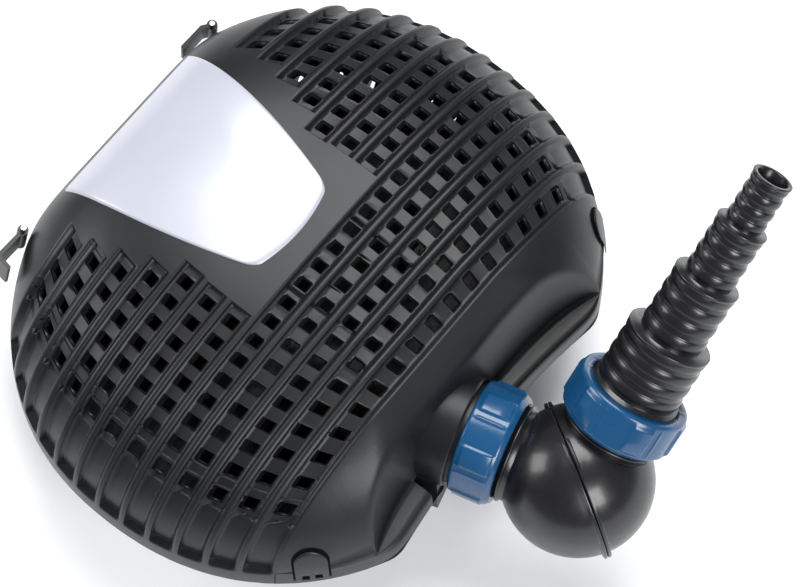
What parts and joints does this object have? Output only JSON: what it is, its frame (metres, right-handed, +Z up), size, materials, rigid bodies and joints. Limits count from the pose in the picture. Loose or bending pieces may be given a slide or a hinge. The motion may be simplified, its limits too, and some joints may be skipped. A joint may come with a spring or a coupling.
{
  "type": "fountain submersible pump",
  "caption": "Submersible fountain pump in a ribbed, perforated cage, with a swivelling ball elbow, blue union nuts and a stepped hose tail.",
  "frame": {"origin": "on the floor under the middle of the cage", "axes": "+X towards the outlet, +Y along the cage's ribs, +Z up"},
  "size_m": [0.3122, 0.2844, 0.1959],
  "materials": {
    "shell_plastic": "semi-matte, fine grain",
    "badge_plastic": "satin",
    "clip_plastic": "semi-matte",
    "pin_steel": "stainless",
    "foot_rubber": "matte",
    "pump_plastic": "moulded",
    "ceramic": "polished ceramic",
    "magnet": "ferrite, coated",
    "lamination": "stacked steel sheet",
    "copper": "enamelled copper",
    "motor_case": "ribbed",
    "nut_blue": "glossy moulding",
    "ball_black": "glossy moulding"
  },
  "bodies": {
    "base": {"lower_shell": "shell_plastic", "rubber_feet": "foot_rubber", "cord_grommet": "foot_rubber", "volute_housing": "pump_plastic", "chamber_cover": "pump_plastic", "chamber_o_ring": "foot_rubber", "chamber_screws": "pin_steel", "suction_strainer": "shell_plastic", "front_bush": "ceramic", "rear_bush": "ceramic", "rotor_can": "pump_plastic", "stator_core": "lamination", "stator_coils": "copper", "motor_housing": "motor_case", "motor_end_cap": "pump_plastic", "cable_gland": "foot_rubber", "rubber_mounts": "foot_rubber", "outlet_neck": "shell_plastic", "neck_gasket": "foot_rubber"},
    "rotor": {"impeller": "pump_plastic", "motor_shaft": "ceramic", "rotor_magnet": "magnet"},
    "cover": {"upper_shell": "shell_plastic", "badge_plate": "badge_plastic", "clip_pins": "pin_steel"},
    "latch_left": {"front_latch_left": "shell_plastic"},
    "latch_right": {"front_latch_right": "shell_plastic"},
    "clip_left": {"cord_clip_left": "clip_plastic"},
    "clip_right": {"cord_clip_right": "clip_plastic"},
    "pump_nut": {"union_nut_pump": "nut_blue"},
    "elbow_inlet": {"elbow_inlet_half": "ball_black", "elbow_seam_ring": "foot_rubber"},
    "elbow_outlet": {"elbow_outlet_half": "ball_black", "hose_gasket": "foot_rubber"},
    "hose_nut": {"union_nut_hose": "nut_blue"},
    "tail": {"hose_tail": "ball_black"}
  },
  "joints": [
    {"name": "rotor_spin", "type": "hinge", "parent": "base", "child": "rotor", "pos_m": [0.01718, -0.03652, 0.048], "axis": [-0.2554, 0.9668, 0], "continuous": true},
    {"name": "cover_lift", "type": "slide", "parent": "base", "child": "cover", "axis": [0, 0, 1], "range_m": [0, 0.15]},
    {"name": "latch_left_press", "type": "hinge", "parent": "cover", "child": "latch_left", "pos_m": [0.094, 0.103, 0.0625], "axis": [0.6919, -0.722, 0], "range_deg": [0, 5], "stiffness_Nm_per_rad": 2},
    {"name": "latch_right_press", "type": "hinge", "parent": "cover", "child": "latch_right", "pos_m": [0.094, -0.103, 0.0625], "axis": [-0.6919, -0.722, 0], "range_deg": [0, 5], "stiffness_Nm_per_rad": 2},
    {"name": "clip_right_swing", "type": "hinge", "parent": "cover", "child": "clip_right", "pos_m": [-0.111, -0.069, 0.067], "axis": [-0.1833, -0.1019, -0.9778], "range_deg": [0, 75]},
    {"name": "clip_left_swing", "type": "hinge", "parent": "cover", "child": "clip_left", "pos_m": [-0.111, 0.069, 0.067], "axis": [-0.1833, 0.1019, -0.9778], "range_deg": [0, 90]},
    {"name": "pump_nut_turn", "type": "hinge", "parent": "base", "child": "pump_nut", "pos_m": [0.12063, -0.00918, 0.074], "axis": [0.9668, 0.2554, 0], "continuous": true},
    {"name": "elbow_swivel", "type": "hinge", "parent": "base", "child": "elbow_inlet", "pos_m": [0.1622, 0.0018, 0.074], "axis": [0.9668, 0.2554, 0], "range_deg": [-60, 150]},
    {"name": "elbow_bend", "type": "hinge", "parent": "elbow_inlet", "child": "elbow_outlet", "pos_m": [0.1622, 0.0018, 0.074], "axis": [0.505, 0.8569, 0.1033], "range_deg": [-53, 127]},
    {"name": "hose_nut_turn", "type": "hinge", "parent": "elbow_outlet", "child": "hose_nut", "pos_m": [0.16268, 0.0335, 0.10305], "axis": [0.0112, 0.7371, 0.6757], "continuous": true},
    {"name": "tail_turn", "type": "hinge", "parent": "elbow_outlet", "child": "tail", "pos_m": [0.16287, 0.04603, 0.11454], "axis": [0.0112, 0.7371, 0.6757], "continuous": true}
  ]
}
